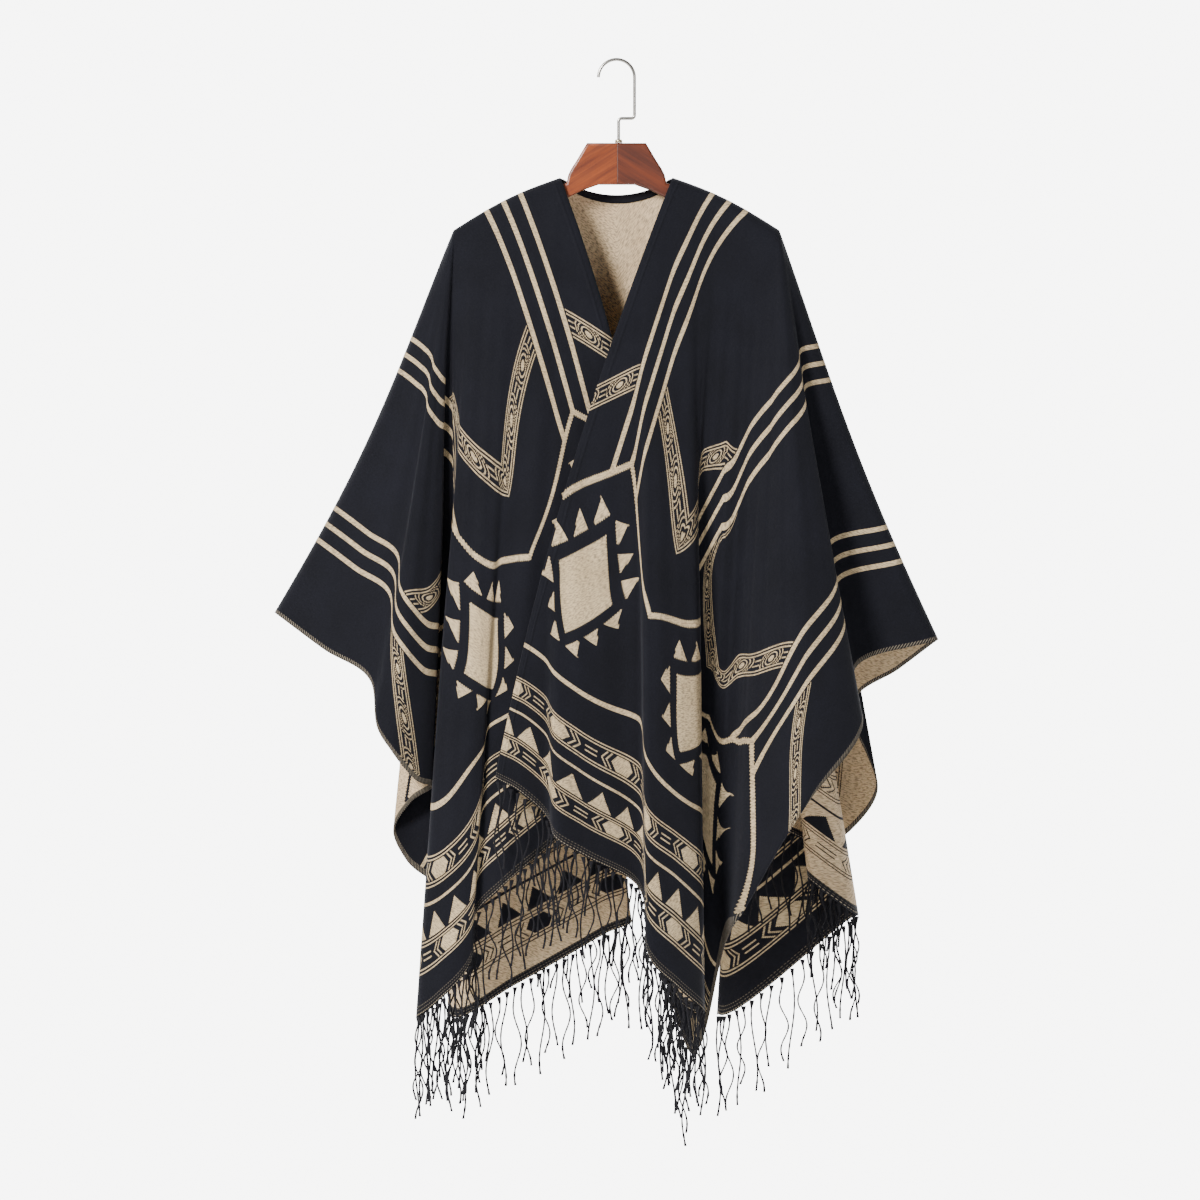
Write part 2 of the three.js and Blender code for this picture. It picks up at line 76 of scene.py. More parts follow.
# Each row is one fold line. It leaves the opening edge or the shoulder line at start
# and meets the cloth's edge at end, which hangs at x, y, z. The give is the share of
# bias stretch that the line takes near its end rather than near its start.
# Fronts: start is + along the shoulder and - down the opening edge; end runs from the
# opening corner along the hem and then up the side edge.
FOLD_COLUMNS = ("start", "end", "x", "y", "z", "give")

RIGHT_FOLDS = table(FOLD_COLUMNS, [
    (-770, 0, -147, -60, -874, 0),
    (-600, 40, -118, -56, -890, 0.05),
    (-500, 80, -84, -48, -921, 0.08),
    (-450, 118, -72, -78, -948, 0.1),
    (-400, 150, -40, -66, -967, 0.1),
    (-130, 250, 30, -44, -1012, 0.12),
    (-100, 335, 41, -85, -1093, 0.12),
    (-40, 395, 75, -72, -1128, 0.12),
    (22, 450, 104, -45, -1155, 0.12),
    (32, 476, 106, -24, -1160, 0.12),
    (45, 520, 82, -6, -1152, 0.12),
    (62, 580, 56, 10, -1102, 0.12),
    (80, 640, 68, 26, -1150, 0.12),
    (95, 700, 88, 18, -1207, 0.12),
    (120, 880, 134, 10, -1072, 0.12),
    (145, 1041, 161, -45, -1023, 0.12),
    (145, 1134, 206, -75, -943, 0.1),
    (145, 1187, 235, -80, -899, 0.08),
    (145, 1290, 298, -45, -812, 0.05),
    (145, 1367, 290, 12, -742, 0.03),
    (145, 1470, 393, 35, -706, 0),
])

LEFT_FOLDS = table(FOLD_COLUMNS, [
    (-700, 0, 55, -8, -826, 0),
    (-350, 130, -12, -14, -886, 0.08),
    (-120, 235, -73, -20, -949, 0.12),
    (0, 335, -143, -35, -1010, 0.14),
    (40, 375, -172, -30, -1040, 0.15),
    (70, 430, -178, -48, -1098, 0.15),
    (100, 500, -218, -50, -1146, 0.15),
    (120, 560, -243, -30, -1165, 0.15),
    (126, 600, -228, 5, -1150, 0.14),
    (145, 700, -195, 42, -1090, 0.12),
    (145, 850, -222, 45, -1005, 0.1),
    (145, 915, -257, 42, -975, 0.08),
    (145, 960, -272, 30, -940, 0.08),
    (145, 1010, -252, 16, -905, 0.06),
    (145, 1070, -225, 5, -885, 0.05),
    (145, 1119, -245, -12, -876, 0.04),
    (145, 1165, -273, -30, -842, 0.03),
    (145, 1200, -290, -25, -815, 0.02),
    (145, 1255, -299, -5, -757, 0.01),
    (145, 1330, -358, 25, -717, 0.01),
    (145, 1400, -418, 60, -673, 0),
])

# Back: start runs across the shoulders and the neck, end runs from the middle of the
# hem, + to the right and - to the left, past the corner and up the side edge.
BACK_FOLDS = table(FOLD_COLUMNS, [
    (-215, -1610, -418, 60, -673, 0),
    (-215, -1530, -350, 92, -712, 0.01),
    (-215, -1450, -285, 116, -758, 0.02),
    (-215, -1370, -230, 140, -800, 0.03),
    (-215, -1290, -165, 160, -835, 0.05),
    (-215, -1210, -175, 150, -865, 0.05),
    (-215, -1130, -256, 130, -880, 0.06),
    (-215, -1040, -266, 125, -940, 0.08),
    (-215, -960, -225, 131, -1000, 0.08),
    (-215, -880, -150, 140, -1045, 0.1),
    (-198, -770, -205, 125, -1105, 0.1),
    (-193, -715, -166, 122, -1116, 0.1),
    (-188, -668, -168, 98, -1138, 0.1),
    (-176, -612, -207, 92, -1166, 0.1),
    (-170, -585, -199, 75, -1176, 0.1),
    (-140, -496, -126, 66, -1137, 0.08),
    (-110, -420, -55, 62, -1097, 0.07),
    (-90, -375, -12, 66, -1072, 0.06),
    (-80, -335, 18, 76, -1057, 0.05),
    (-70, -300, -30, 95, -1042, 0.04),
    (-55, -230, -95, 115, -1020, 0.03),
    (-45, -180, -105, 140, -1005, 0.02),
    (-25, -100, -60, 125, -975, 0),
    (0, 0, 15, 100, -951, 0),
    (35, 100, 75, 85, -950, 0),
    (68, 190, 140, 95, -950, 0.01),
    (95, 262, 205, 78, -946, 0.02),
    (112, 305, 240, 94, -962, 0.03),
    (126, 355, 262, 102, -972, 0.04),
    (138, 405, 277, 80, -984, 0.05),
    (150, 462, 236, 58, -998, 0.06),
    (155, 488, 240, 40, -1008, 0.06),
    (162, 530, 291, 76, -1047, 0.07),
    (165, 552, 298, 101, -1051, 0.08),
    (168, 575, 291, 125, -1055, 0.08),
    (195, 770, 125, 155, -1172, 0.1),
    (200, 830, 138, 180, -1122, 0.1),
    (215, 900, 187, 162, -1082, 0.1),
    (215, 990, 145, 177, -1035, 0.1),
    (215, 1060, 131, 193, -1005, 0.1),
    (215, 1140, 202, 181, -975, 0.08),
    (215, 1243, 289, 140, -941, 0.06),
    (215, 1304, 321, 102, -889, 0.04),
    (215, 1345, 309, 93, -850, 0.03),
    (215, 1384, 293, 83, -812, 0.03),
    (215, 1416, 293, 75, -780, 0.02),
    (215, 1478, 346, 56, -742, 0.01),
    (215, 1540, 393, 35, -706, 0),
])

# Outline of the hanger's right half: the neck down to the cloth, and the arm's end
# and underside. The arm's top between them follows the shoulder line.
WOOD_NECK = table(("x", "z"), [
    (36, -100),
    (42, -110),
    (48.5, -121),
    (55, -131),
    (59, -139),
    (61, -149),
    (68, -150.6),
])
WOOD_UNDERSIDE = table(("x", "z"), [
    (183, -201.2),
    (195, -211),
    (196, -219),
    (190, -226),
    (150, -213),
    (110, -192),
    (80, -176),
    (60, -167),
    (42, -158),
    (22, -151),
])

# The pattern's own place differs from the place on the flat front by a shift, so that
# the motifs land where the photograph shows them. Each row gives a place (across from
# the opening edge, height above the hem) and its shift; the shifts blend over the reach,
# and fade out at the opening edge and at the hem.
PULL_COLUMNS = ("across", "height", "shift_across", "shift_height")
PULL = {"reach": 90.0, "ease": 0.03, "edge": 30.0, "hem": 60.0}
RIGHT_PULLS = table(PULL_COLUMNS, [
    (20, 283, -2, 17),
    (71, 334, 7, 26),
    (102, 262, 36, 38),
    (54, 209, 24, 31),
    (80, 425, 0, 0),
    (12, 375, 0, -15),
    (188, 310, 13, -7),
    (200, 385, 1, 26),
    (256, 275, 8, 25),
    (293, 287, 2, 42),
    (294, 206, 30, 34),
    (149, 157, 22, 28),
    (213, 76, 5, 22),
    (240, 172, 14, 13),
    (358, 170, 15, 15),
    (320, 92, 8, 5),
    (120, 541, 0, 0),
    (310, 440, 0, 30),
    (320, 560, 0, 0),
    (356, 412, 4, 120),
    (371, 443, 6, 116),
    (390, 456, 0, 104),
    (411, 471, -8, 86),
    (431, 532, -6, 31),
    (452, 564, -3, 12),
    (395, 396, 4, 126),
    (425, 424, -2, 106),
    (446, 444, -10, 84),
    (465, 512, -6, 24),
    (488, 542, -5, 9),
    (508, 566, 0, 0),
    (424, 366, 6, 118),
    (464, 396, -9, 89),
    (481, 422, -12, 71),
    (499, 492, -8, 18),
    (522, 520, -5, 7),
    (453, 338, 4, 98),
    (474, 354, -4, 92),
    (501, 368, -15, 84),
    (515, 403, -16, 55),
    (534, 471, -16, 0),
    (557, 498, -14, -8),
    (578, 522, -8, -8),
    (484, 311, 30, 96),
    (536, 342, -2, 82),
    (548, 388, -4, 45),
    (557, 430, -5, 11),
    (501, 296, 34, 95),
    (526, 309, 18, 91),
    (554, 330, -1, 79),
    (564, 382, -3, 35),
    (574, 421, -4, 5),
    (557, 289, 14, 98),
    (578, 314, -1, 79),
    (589, 372, -6, 27),
    (598, 408, -9, -3),
    (551, 254, 39, 111),
    (584, 268, 14, 105),
    (604, 300, -2, 77),
    (613, 363, -8, 18),
    (623, 394, -14, -10),
    (612, 249, 9, 100),
    (628, 290, -4, 63),
    (638, 352, -10, 5),
    (648, 379, -16, -19),
    (606, 212, 40, 116),
    (638, 231, 10, 99),
    (652, 283, -2, 49),
    (661, 341, -9, -7),
    (672, 365, -17, -28),
    (663, 214, 10, 94),
    (676, 278, -1, 33),
    (685, 329, -7, -16),
    (620, 470, -5, -10),
    (640, 520, 0, 0),
])
LEFT_PULLS = table(PULL_COLUMNS, [
    (301, 318, 23, 42),
    (252, 258, 12, 42),
    (279, 192, 45, 48),
    (336, 258, 48, 42),
    (288, 162, 30, 25),
    (347, 173, 25, 12),
    (402, 162, 22, 23),
    (450, 122, 12, 20),
    (389, 124, 12, 18),
    (450, 82, 6, 15),
    (187, 301, 14, 2),
    (193, 368, 8, 40),
    (302, 393, 4, 12),
    (90, 403, 0, 0),
    (120, 500, 0, 0),
])

# Shallow waves in the cloth along its fold lines
RIPPLE = {"depth": 0.9, "wide": 15.0, "narrow": 7.0}

# Yarns of the fringe
YARN = {
    "rings": 44,
    "sides": 8,
    "wave": 6.0,
    "twist": 4.0,
    "knot": 0.4,
    "root": 1.9,
    "arch": 9.0,
    "knot_place": 0.9,
    "knot_half": 0.02,
    "fray": 0.45,
    "fray_place": 0.93,
    "round": 0.92,
    "ply": 0.1,
    "first_step": 2.0,
}

# Stations of the fringe beyond the hanger's arm
FRINGE_STATIONS = 18

# Share of a panel's length over which the hem's direction is taken
HEM_STEP = 1 / 19.0

# Stations of the sheets. Rows lie closer together near the shoulder.
GRID = {"front": 141, "back": 281, "down": 151, "even": 0.72, "closer": 0.28}

# Woven pattern: columns repeat across the cloth, the other sizes are above the hem
PATTERN = {
    "repeat": 246.0,
    "first": 78.0,
    "stripe_gap": 23.0,
    "line": 6.2,
    "step": 1.2,
    "peak": 426.0,
    "band": 553.0,
    "braid": 26.0,
    "rings": 53.0,
    "medallion": 300.0,
    "diamond": 60.0,
    "frame": 14.0,
    "ray": 17.0,
    "ray_step": 36.0,
    "ray_half": 13.0,
    "borders": (34.0, 112.0),
    "border": 30.0,
    "hexagons": 92.0,
    "teeth": 66.0,
    "tooth_height": 23.0,
    "thin_line": 97.5,
    "thick_line": 185.0,
}
SIDE_LINE = {"first": 0.8, "second": 4.4, "half": 0.7}
HEXAGON = {"half": 17.0, "slope": 0.9, "chevrons": (24.5, 31.0), "chevron_half": 1.1}
BORDER_DASH = {"across": 2.7, "half": 0.8, "from": 37.5, "margin": 6.4}
RING = {"long": 100.0, "wide": 34.0, "middle": 0.5, "arcs": (1.5, 1.95), "reach": 20.0}
BRAID_DASH = {"across": 2.6, "half": 0.7, "from": 21.5, "margin": 6.0, "start": 16.0}
TOOTH = {"repeat": 40.0, "half": 16.5}
STITCH = {"hem": 9.0, "side": 5.0, "row": 3.2, "dash": 3.6}

# Length of a slanting line's step across it, for the pattern's diagonals
HALF_ROOT = 0.7071
ROOT = 1.4142

# Colours: each pair is the darker and the lighter yarn
NAVY = ((0.0024, 0.0026, 0.0046, 1), (0.0056, 0.006, 0.0104, 1))
BEIGE = ((0.37, 0.275, 0.155, 1), (0.64, 0.505, 0.315, 1))
# Inside-face beige: the beige ground is the cloth's own colour, but it is painted lighter than the
# outer beige yarn, as painted light on the shaded inside of the cloth
BEIGE_INSIDE_PAINTED_LIGHT = ((0.46, 0.33, 0.195, 1), (0.7, 0.545, 0.35, 1))
FLECK = (0.06, 0.05, 0.045, 1)
THREAD = (0.006, 0.006, 0.008, 1)
THREAD_LIGHT = (0.45, 0.38, 0.28, 1)
YARN_BLACK = (0.004, 0.004, 0.006, 1)
YARN_GREY = (0.014, 0.014, 0.018, 1)
WOOD_LEFT = ((0.095, 0.014, 0.0016, 1), (0.25, 0.047, 0.0045, 1))
WOOD_RIGHT = ((0.045, 0.0065, 0.0014, 1), (0.125, 0.021, 0.0032, 1))
WOOD_SEAM = (0.02, 0.006, 0.003, 1)
SEAM = 1.0
STEEL = (0.4, 0.385, 0.36, 1)
BRASS = (0.5, 0.42, 0.28, 1)

# Camera and studio, in metres
VIEW = {"distance": 14.0, "width": 1.4634, "x": -0.0201, "z": -0.6573}
ROOM = {
    "air": (0.98, 0.98, 0.97, 1),
    "front": 0.17,
    "behind": 7.5,
    "turn": 0.55,
    "blend": 0.5,
    "paint": (0.85, 0.84, 0.82, 1),
    "floor": -1.9,
    "half": 3.0,
}
LAMP_AIM = (0, 0, -0.6)
# Name, place, size, power and colour
LAMPS = (
    ("key", (-2.2, -3.15, 1.3), 1.1, 370, (1.0, 0.98, 0.95)),
    ("fill", (3.0, -3.2, 0.0), 2.2, 40, (0.96, 0.98, 1.0)),
)


def slopes(ends, values):
    """Slope of a smooth curve through the rows, at each row."""
    steps = np.diff(ends)
    rises = np.diff(values) / steps
    inner = (rises[:-1] * steps[1:] + rises[1:] * steps[:-1]) / (steps[:-1] + steps[1:])
    return np.concatenate([rises[:1], inner, rises[-1:]])


def smooth(folds, name, end):
    """Smooth curve through one column of the table."""
    ends = folds["end"]
    values = folds[name]
    slope = slopes(ends, values)
    k = np.clip(np.searchsorted(ends, end, side="right") - 1, 0, len(ends) - 2)
    width = ends[k + 1] - ends[k]
    t = (end - ends[k]) / width
    s = 1 - t
    return (
        values[k] * (1 + 2 * t) * s * s
        + slope[k] * width * t * s * s
        + values[k + 1] * t * t * (3 - 2 * t)
        - slope[k + 1] * width * t * t * s
    )


def end_point(folds, end):
    return np.stack([smooth(folds, name, end) for name in ("x", "y", "z")], -1)


def faded_end(folds, end, share):
    """Where a fold line points at a share of its length: near the shoulder the folds
    are averaged away, near the hem they have their full depth."""
    sharp = end_point(folds, end)
    first = folds["end"][0]
    last = folds["end"][-1]
    offsets = np.linspace(-1, 1, FADE["samples"])
    weights = 1 - FADE["falloff"] * np.abs(offsets)
    soft = np.zeros(sharp.shape)
    for offset, weight in zip(offsets, weights):
        soft += weight * end_point(folds, np.clip(end + offset * FADE["blur"], first, last))
    soft /= weights.sum()
    inside = np.clip((end - first) / FADE["blur"], 0, 1)
    inside = inside * np.clip((last - end) / FADE["blur"], 0, 1)
    soft = sharp + (soft - sharp) * inside[..., None]
    t = np.clip((share - FADE["from"]) / (FADE["to"] - FADE["from"]), 0, 1)
    return soft + (sharp - soft) * (t * t * (3 - 2 * t))[..., None]


def over_arm(drop):
    """The cloth turns over the arm in a quarter circle before it hangs."""
    quarter = RIDGE_RADIUS * math.pi / 2
    turn = np.minimum(drop, quarter) / RIDGE_RADIUS
    fall = RIDGE_RADIUS * (1 - np.cos(turn)) + np.maximum(drop - quarter, 0)
    return fall, RIDGE_RADIUS * np.sin(turn)


def shoulder_point(along, side):
    share = np.clip(along / SHOULDER, 0, 1)[..., None]
    point = NECK_POINT + (ARM_POINT - NECK_POINT) * share
    point[..., 2] += SHOULDER_ARCH * np.sin(math.pi * share[..., 0])
    point[..., 0] *= side
    return point


def fold_through(folds, flat_start, flat_end, across, down, handed):
    """Fold line through each point of the flat cloth, found by halving."""
    low = np.full(across.shape, folds["end"][0])
    high = np.full(across.shape, folds["end"][-1])
    for _ in range(44):
        end = (low + high) / 2
        ax, ay = flat_start(np.interp(end, folds["end"], folds["start"]))
        bx, by = flat_end(end)
        cross = (bx - ax) * (down - ay) - (by - ay) * (across - ax)
        before = cross * handed > 0
        low = np.where(before, end, low)
        high = np.where(before, high, end)
    return (low + high) / 2


def slack(folds, end, share):
    """Sideways slack of a fold line, full where the line ends at the tip of a side edge."""
    tip_end = np.where(end < 0, folds["end"][0], folds["end"][-1])
    tip_x = np.where(end < 0, folds["x"][0], folds["x"][-1])
    t = np.clip(np.abs(tip_end - end) / SLACK["reach"], 0, 1)
    near = 1 - t * t * (3 - 2 * t)
    depth = np.where(tip_x > 0, SLACK["right"], SLACK["left"])
    return -np.sign(tip_x) * depth * near * np.sin(math.pi * share ** SLACK["shape"])


def point_on_fold(folds, end, flat_start, flat_end, start_point, across, down):
    start = np.interp(end, folds["end"], folds["start"])
    ax, ay = flat_start(start)
    bx, by = flat_end(end)
    whole = np.maximum(np.hypot(bx - ax, by - ay), 1e-6)
    share = np.clip(np.hypot(across - ax, down - ay) / whole, 0, 1)
    give = smooth(folds, "give", end)
    along = ((1 - give) * share + give * share * share)[..., None]
    first = start_point(start)
    point = first + (faded_end(folds, end, share) - first) * along
    point[..., 0] += slack(folds, end, share)
    return point + ripple(end, share)


def ripple(end, share):
    """Shallow waves along the fold lines, still at the shoulder and at the edges."""
    depth = RIPPLE["depth"] * np.sin(math.pi * np.clip(share * 1.15 - 0.05, 0, 1))
    wave = np.sin(end / RIPPLE["wide"]) + 0.6 * np.sin(end / RIPPLE["narrow"] + 3 * share)
    return np.stack([0 * end, depth * wave, 0 * end], -1)


def front_map(folds, length, side, bow):
    """Map of a front panel: u across from the opening edge, v down from the shoulder."""
    hung = over_arm(np.float64(length))[0]
    corner = end_point(folds, np.float64(0))
    neck = shoulder_point(np.float64(0), side)

    def flat_start(start):
        return np.maximum(start, 0), np.maximum(-start, 0) * hung / length

    def flat_end(end):
        up = np.maximum(end - HALF_WIDTH, 0) * hung / length
        return np.minimum(end, HALF_WIDTH), hung - up

    def start_point(start):
        share = np.clip(-start / length, 0, 1)[..., None]
        edge = neck + (corner - neck) * share
        bowed = share[..., 0] * (1 + bow * (1 - share[..., 0]))
        edge[..., 0] = neck[0] + (corner[0] - neck[0]) * bowed
        return np.where((start >= 0)[..., None], shoulder_point(start, side), edge)

    def place(u, v):
        fall, out = over_arm(v)
        end = fold_through(folds, flat_start, flat_end, u, fall, -1)
        point = point_on_fold(folds, end, flat_start, flat_end, start_point, u, fall)
        point[..., 1] -= out
        return point

    return place


def back_height(u):
    """Height of the shoulder line above the back hem in the flat cloth."""
    share = (np.clip(u / NECK_HALF_GAP, -1, 1) + 1) / 2
    return BACK_LENGTH["left"] + (BACK_LENGTH["right"] - BACK_LENGTH["left"]) * share


def neck_drop(u):
    return NECK_DROP * np.maximum(1 - (u / NECK_HALF_GAP) ** 2, 0)


def back_start(u):
    side = np.where(u < 0, -1.0, 1.0)
    arm = shoulder_point(np.maximum(np.abs(u) - NECK_HALF_GAP, 0), side)
    share = np.clip(u / NECK_HALF_GAP, -1, 1)
    sag = 1 - share * share
    z = NECK_POINT[2] - BACK_NECK_FALL * sag
    neck = np.stack([NECK_POINT[0] * share, BACK_NECK_DEPTH * sag, z], -1)
    return np.where((np.abs(u) >= NECK_HALF_GAP)[..., None], arm, neck)


def back_map(folds):
    """Map of the back: u across from the middle, v down from the shoulder line."""

    def flat_start(start):
        return start, back_height(start) - over_arm(neck_drop(start))[0]

    def flat_end(end):
        return np.clip(end, -HALF_BACK, HALF_BACK), np.maximum(np.abs(end) - HALF_BACK, 0)

    def place(u, v):
        fall, out = over_arm(v)
        height = back_height(u) - fall
        end = fold_through(folds, flat_start, flat_end, u, height, 1)
        point = point_on_fold(folds, end, flat_start, flat_end, back_start, u, height)
        point[..., 1] += out
        return point

    return place


def normals(points):
    """Unit normals of a grid of points, from the first direction towards the second."""
    first = np.gradient(points, axis=0)
    second = np.gradient(points, axis=1)
    cross = np.cross(first, second)
    return cross / np.maximum(np.linalg.norm(cross, axis=-1, keepdims=True), 1e-9)


def add_object(name, mesh):
    piece = bpy.data.objects.new(name, mesh)
    bpy.context.scene.collection.objects.link(piece)
    for face in mesh.polygons:
        face.use_smooth = True
    return piece


def finish_piece(piece, nodes, materials):
    for material in materials:
        piece.data.materials.append(material)
    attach(piece, "root")
    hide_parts(*nodes)
    return piece


def grid_mesh(name, points, flat):
    """Mesh of a grid of points (mm) with the flat cloth's places (mm) as its UV map."""
    columns, rows = points.shape[:2]
    built = bmesh.new()
    bmesh.ops.create_grid(built, x_segments=columns - 1, y_segments=rows - 1, size=1)
    built.verts.ensure_lookup_table()
    layer = built.loops.layers.uv.new("UVMap")
    spots = {}
    for vert in built.verts:
        i = round((vert.co.x + 1) / 2 * (columns - 1))
        j = round((vert.co.y + 1) / 2 * (rows - 1))
        spots[vert.index] = (i, j)
        vert.co = Vector(points[i, j] * MM)
    for face in built.faces:
        for loop in face.loops:
            i, j = spots[loop.vert.index]
            loop[layer].uv = flat[i, j] * MM
    mesh = bpy.data.meshes.new(name)
    built.to_mesh(mesh)
    built.free()
    return mesh


def thicken(piece, thickness, inner):
    """Gives a sheet its thickness, half on each side, with its own inner material."""
    wall = piece.modifiers.new("thickness", "SOLIDIFY")
    wall.thickness = thickness * MM
    wall.offset = 0
    wall.use_even_offset = False
    wall.material_offset = inner
    return wall


def pull_weight(across, height):
    """Share of a pull that is left at a distance from its row of the table."""
    away = np.hypot(across, height) * math.sqrt(3) / PULL["reach"]
    return (1 + away) * np.exp(-away)


def pulled(flat, pulls):
    """Place in the woven pattern of a place on the hung cloth, true at hem and edge."""
    across, height = pulls["across"], pulls["height"]
    between = pull_weight(across[:, None] - across, height[:, None] - height)
    wanted = np.stack([pulls["shift_across"], pulls["shift_height"]], -1)
    parts = np.linalg.solve(between + PULL["ease"] * np.eye(len(across)), wanted)
    shift = np.zeros(flat.shape)
    for row, part in enumerate(parts):
        weight = pull_weight(flat[..., 0] - across[row], flat[..., 1] - height[row])
        shift += weight[..., None] * part
    shift[..., 0] *= np.clip(flat[..., 0] / PULL["edge"], 0, 1)
    shift[..., 1] *= np.clip(flat[..., 1] / PULL["hem"], 0, 1)
    return flat + shift


def panel(name, node, place, across, tops, bottoms, rows, flat_of, materials):
    """One panel of cloth. The columns run so that the normals point outwards."""
    t = np.linspace(0, 1, rows)[::-1]
    share = GRID["even"] * t + GRID["closer"] * t * t
    u = np.repeat(across[:, None], rows, 1)
    v = tops(u) + (bottoms(u) - tops(u)) * share
    points = place(u, v)
    flat = flat_of(np.stack([u, bottoms(u) - v], -1))
    piece = add_object(name, grid_mesh(name, points, flat))
    finish_piece(piece, [node], materials)
    thicken(piece, CLOTH, 1)
    return piece


def tape(name, node, place, across, tops, width, rows, material):
    """Strip on the inside of a panel, a seam gap away from it."""
    share = np.linspace(0, 1, rows)[::-1]
    u = np.repeat(across[:, None], rows, 1)
    v = tops(u) + width * share
    points = place(u, v)
    lift = -(CLOTH / 2 + SEAM_GAP + TAPE / 2)
    points = points + normals(points) * lift
    flat = np.stack([u, v], -1)
    piece = add_object(name, grid_mesh(name, points, flat))
    finish_piece(piece, [node], [material])
    thicken(piece, TAPE, 0)
    return piece


def yarn_path(root, number):
    """Middle line of one hanging yarn, with the small waves of a twisted cord."""
    length = STRAND["length"] + STRAND["spread"] * math.sin(number * 1.9)
    tip = root + [
        STRAND["lean"] * math.sin(number * 2.4),
        STRAND["lean"] * math.cos(number * 1.7),
        -length,
    ]
    share = np.linspace(0, 1, YARN["rings"])[:, None]
    path = root + (tip - root) * share
    loose = np.sin(math.pi * share[:, 0] * 0.85) * YARN["wave"]
    bends = 2.0 + 1.2 * math.sin(number * 3.1)
    path[:, 0] += loose * np.sin(share[:, 0] * math.pi * bends + number)
    path[:, 1] += 0.6 * loose * np.cos(share[:, 0] * math.pi * bends * 0.8 + number * 2.0)
    return path


def yarn(built, path, number):
    """Twisted two-ply yarn with a knot near its end and a frayed tail."""
    rings = len(path)
    sides = YARN["sides"]
    made = bmesh.ops.create_grid(built, x_segments=sides, y_segments=rings - 1, size=1)
    share = np.linspace(0, 1, rings)
    along = np.concatenate([[0], np.cumsum(np.linalg.norm(np.diff(path, axis=0), axis=1))])
    knot = YARN["knot"] * np.exp(-(((share - YARN["knot_place"]) / YARN["knot_half"]) ** 2))
    root = YARN["root"] * np.clip(1 - along / YARN["arch"], 0, 1)
    fray = YARN["fray"] * np.clip((share - YARN["fray_place"]) / (1 - YARN["fray_place"]), 0, 1)
    size = STRAND["radius"] * (1 + knot + root + fray)
    for vert in made["verts"]:
        side = round((vert.co.x + 1) / 2 * sides) % sides
        ring = round((vert.co.y + 1) / 2 * (rings - 1))
        angle = 2 * math.pi * side / sides
        turn = angle - along[ring] / YARN["twist"] - number
        lobe = YARN["round"] + YARN["ply"] * math.cos(2 * turn)
        reach = size[ring] * lobe
        offset = np.array([reach * math.cos(angle), reach * math.sin(angle), 0])
        vert.co = Vector((path[ring] + offset) * MM)
    bmesh.ops.remove_doubles(built, verts=made["verts"], dist=1e-6)


def fringe(name, node, place, stations, length_at, first_number, material):
    """Yarns along one hem."""
    hem = length_at(stations)
    edge = place(stations, hem)
    inner = place(stations, hem * (1 - HEM_STEP))
    down = edge - inner
    down /= np.linalg.norm(down, axis=-1, keepdims=True)
    roots = edge + down * YARN["first_step"]
    built = bmesh.new()
    number = first_number + 1
    for k in range(len(stations) - 1):
        count = max(round((stations[k + 1] - stations[k]) / STRAND["pitch"]), 1)
        for n in range(count):
            share = (n + 0.5) / count
            start = roots[k] + (roots[k + 1] - roots[k]) * share
            yarn(built, yarn_path(start, number), number)
            number += 1
    mesh = bpy.data.meshes.new(name)
    built.to_mesh(mesh)
    built.free()
    piece = add_object(name, mesh)
    return finish_piece(piece, [node], [material])


class Value:
    """A number that varies over a surface, worked out by shader nodes."""

    def __init__(self, tree, socket):
        self.tree = tree
        self.socket = socket

    def math(self, operation, *others):
        node = self.tree.nodes.new("ShaderNodeMath")
        node.operation = operation
        for socket, item in zip(node.inputs, (self, *others)):
            if isinstance(item, Value):
                self.tree.links.new(item.socket, socket)
            else:
                socket.default_value = item
        return Value(self.tree, node.outputs[0])

    def __add__(self, other):
        return self.math("ADD", other)

    def __radd__(self, other):
        return self.math("ADD", other)

    def __sub__(self, other):
        return self.math("SUBTRACT", other)

    def __rsub__(self, other):
        return self.math("MULTIPLY", -1.0).math("ADD", other)

    def __mul__(self, other):
        return self.math("MULTIPLY", other)

    def __rmul__(self, other):
        return self.math("MULTIPLY", other)

    def __abs__(self):
        return self.math("ABSOLUTE")

    def away(self, period, centre):
        """Distance to the nearest of the places centre, centre + period and so on."""
        return (self - centre).math("PINGPONG", period / 2)

    def stepped(self, step):
        return self.math("SNAP", step) + step / 2

    def inside(self, half, soft=0.5):
        """1 where the number is below half, 0 above it, with a short soft edge."""
        node = (self - half).math("MULTIPLY_ADD", -1.0 / soft, 0.5)
        node.socket.node.use_clamp = True
        return node

    def beyond(self, limit, soft=0.5):
        node = (self - limit).math("MULTIPLY_ADD", 1.0 / soft, 0.5)
        node.socket.node.use_clamp = True
        return node

    def line(self, place, half):
        return abs(self - place).inside(half)

    def either(self, other):
        return self.math("MAXIMUM", other)


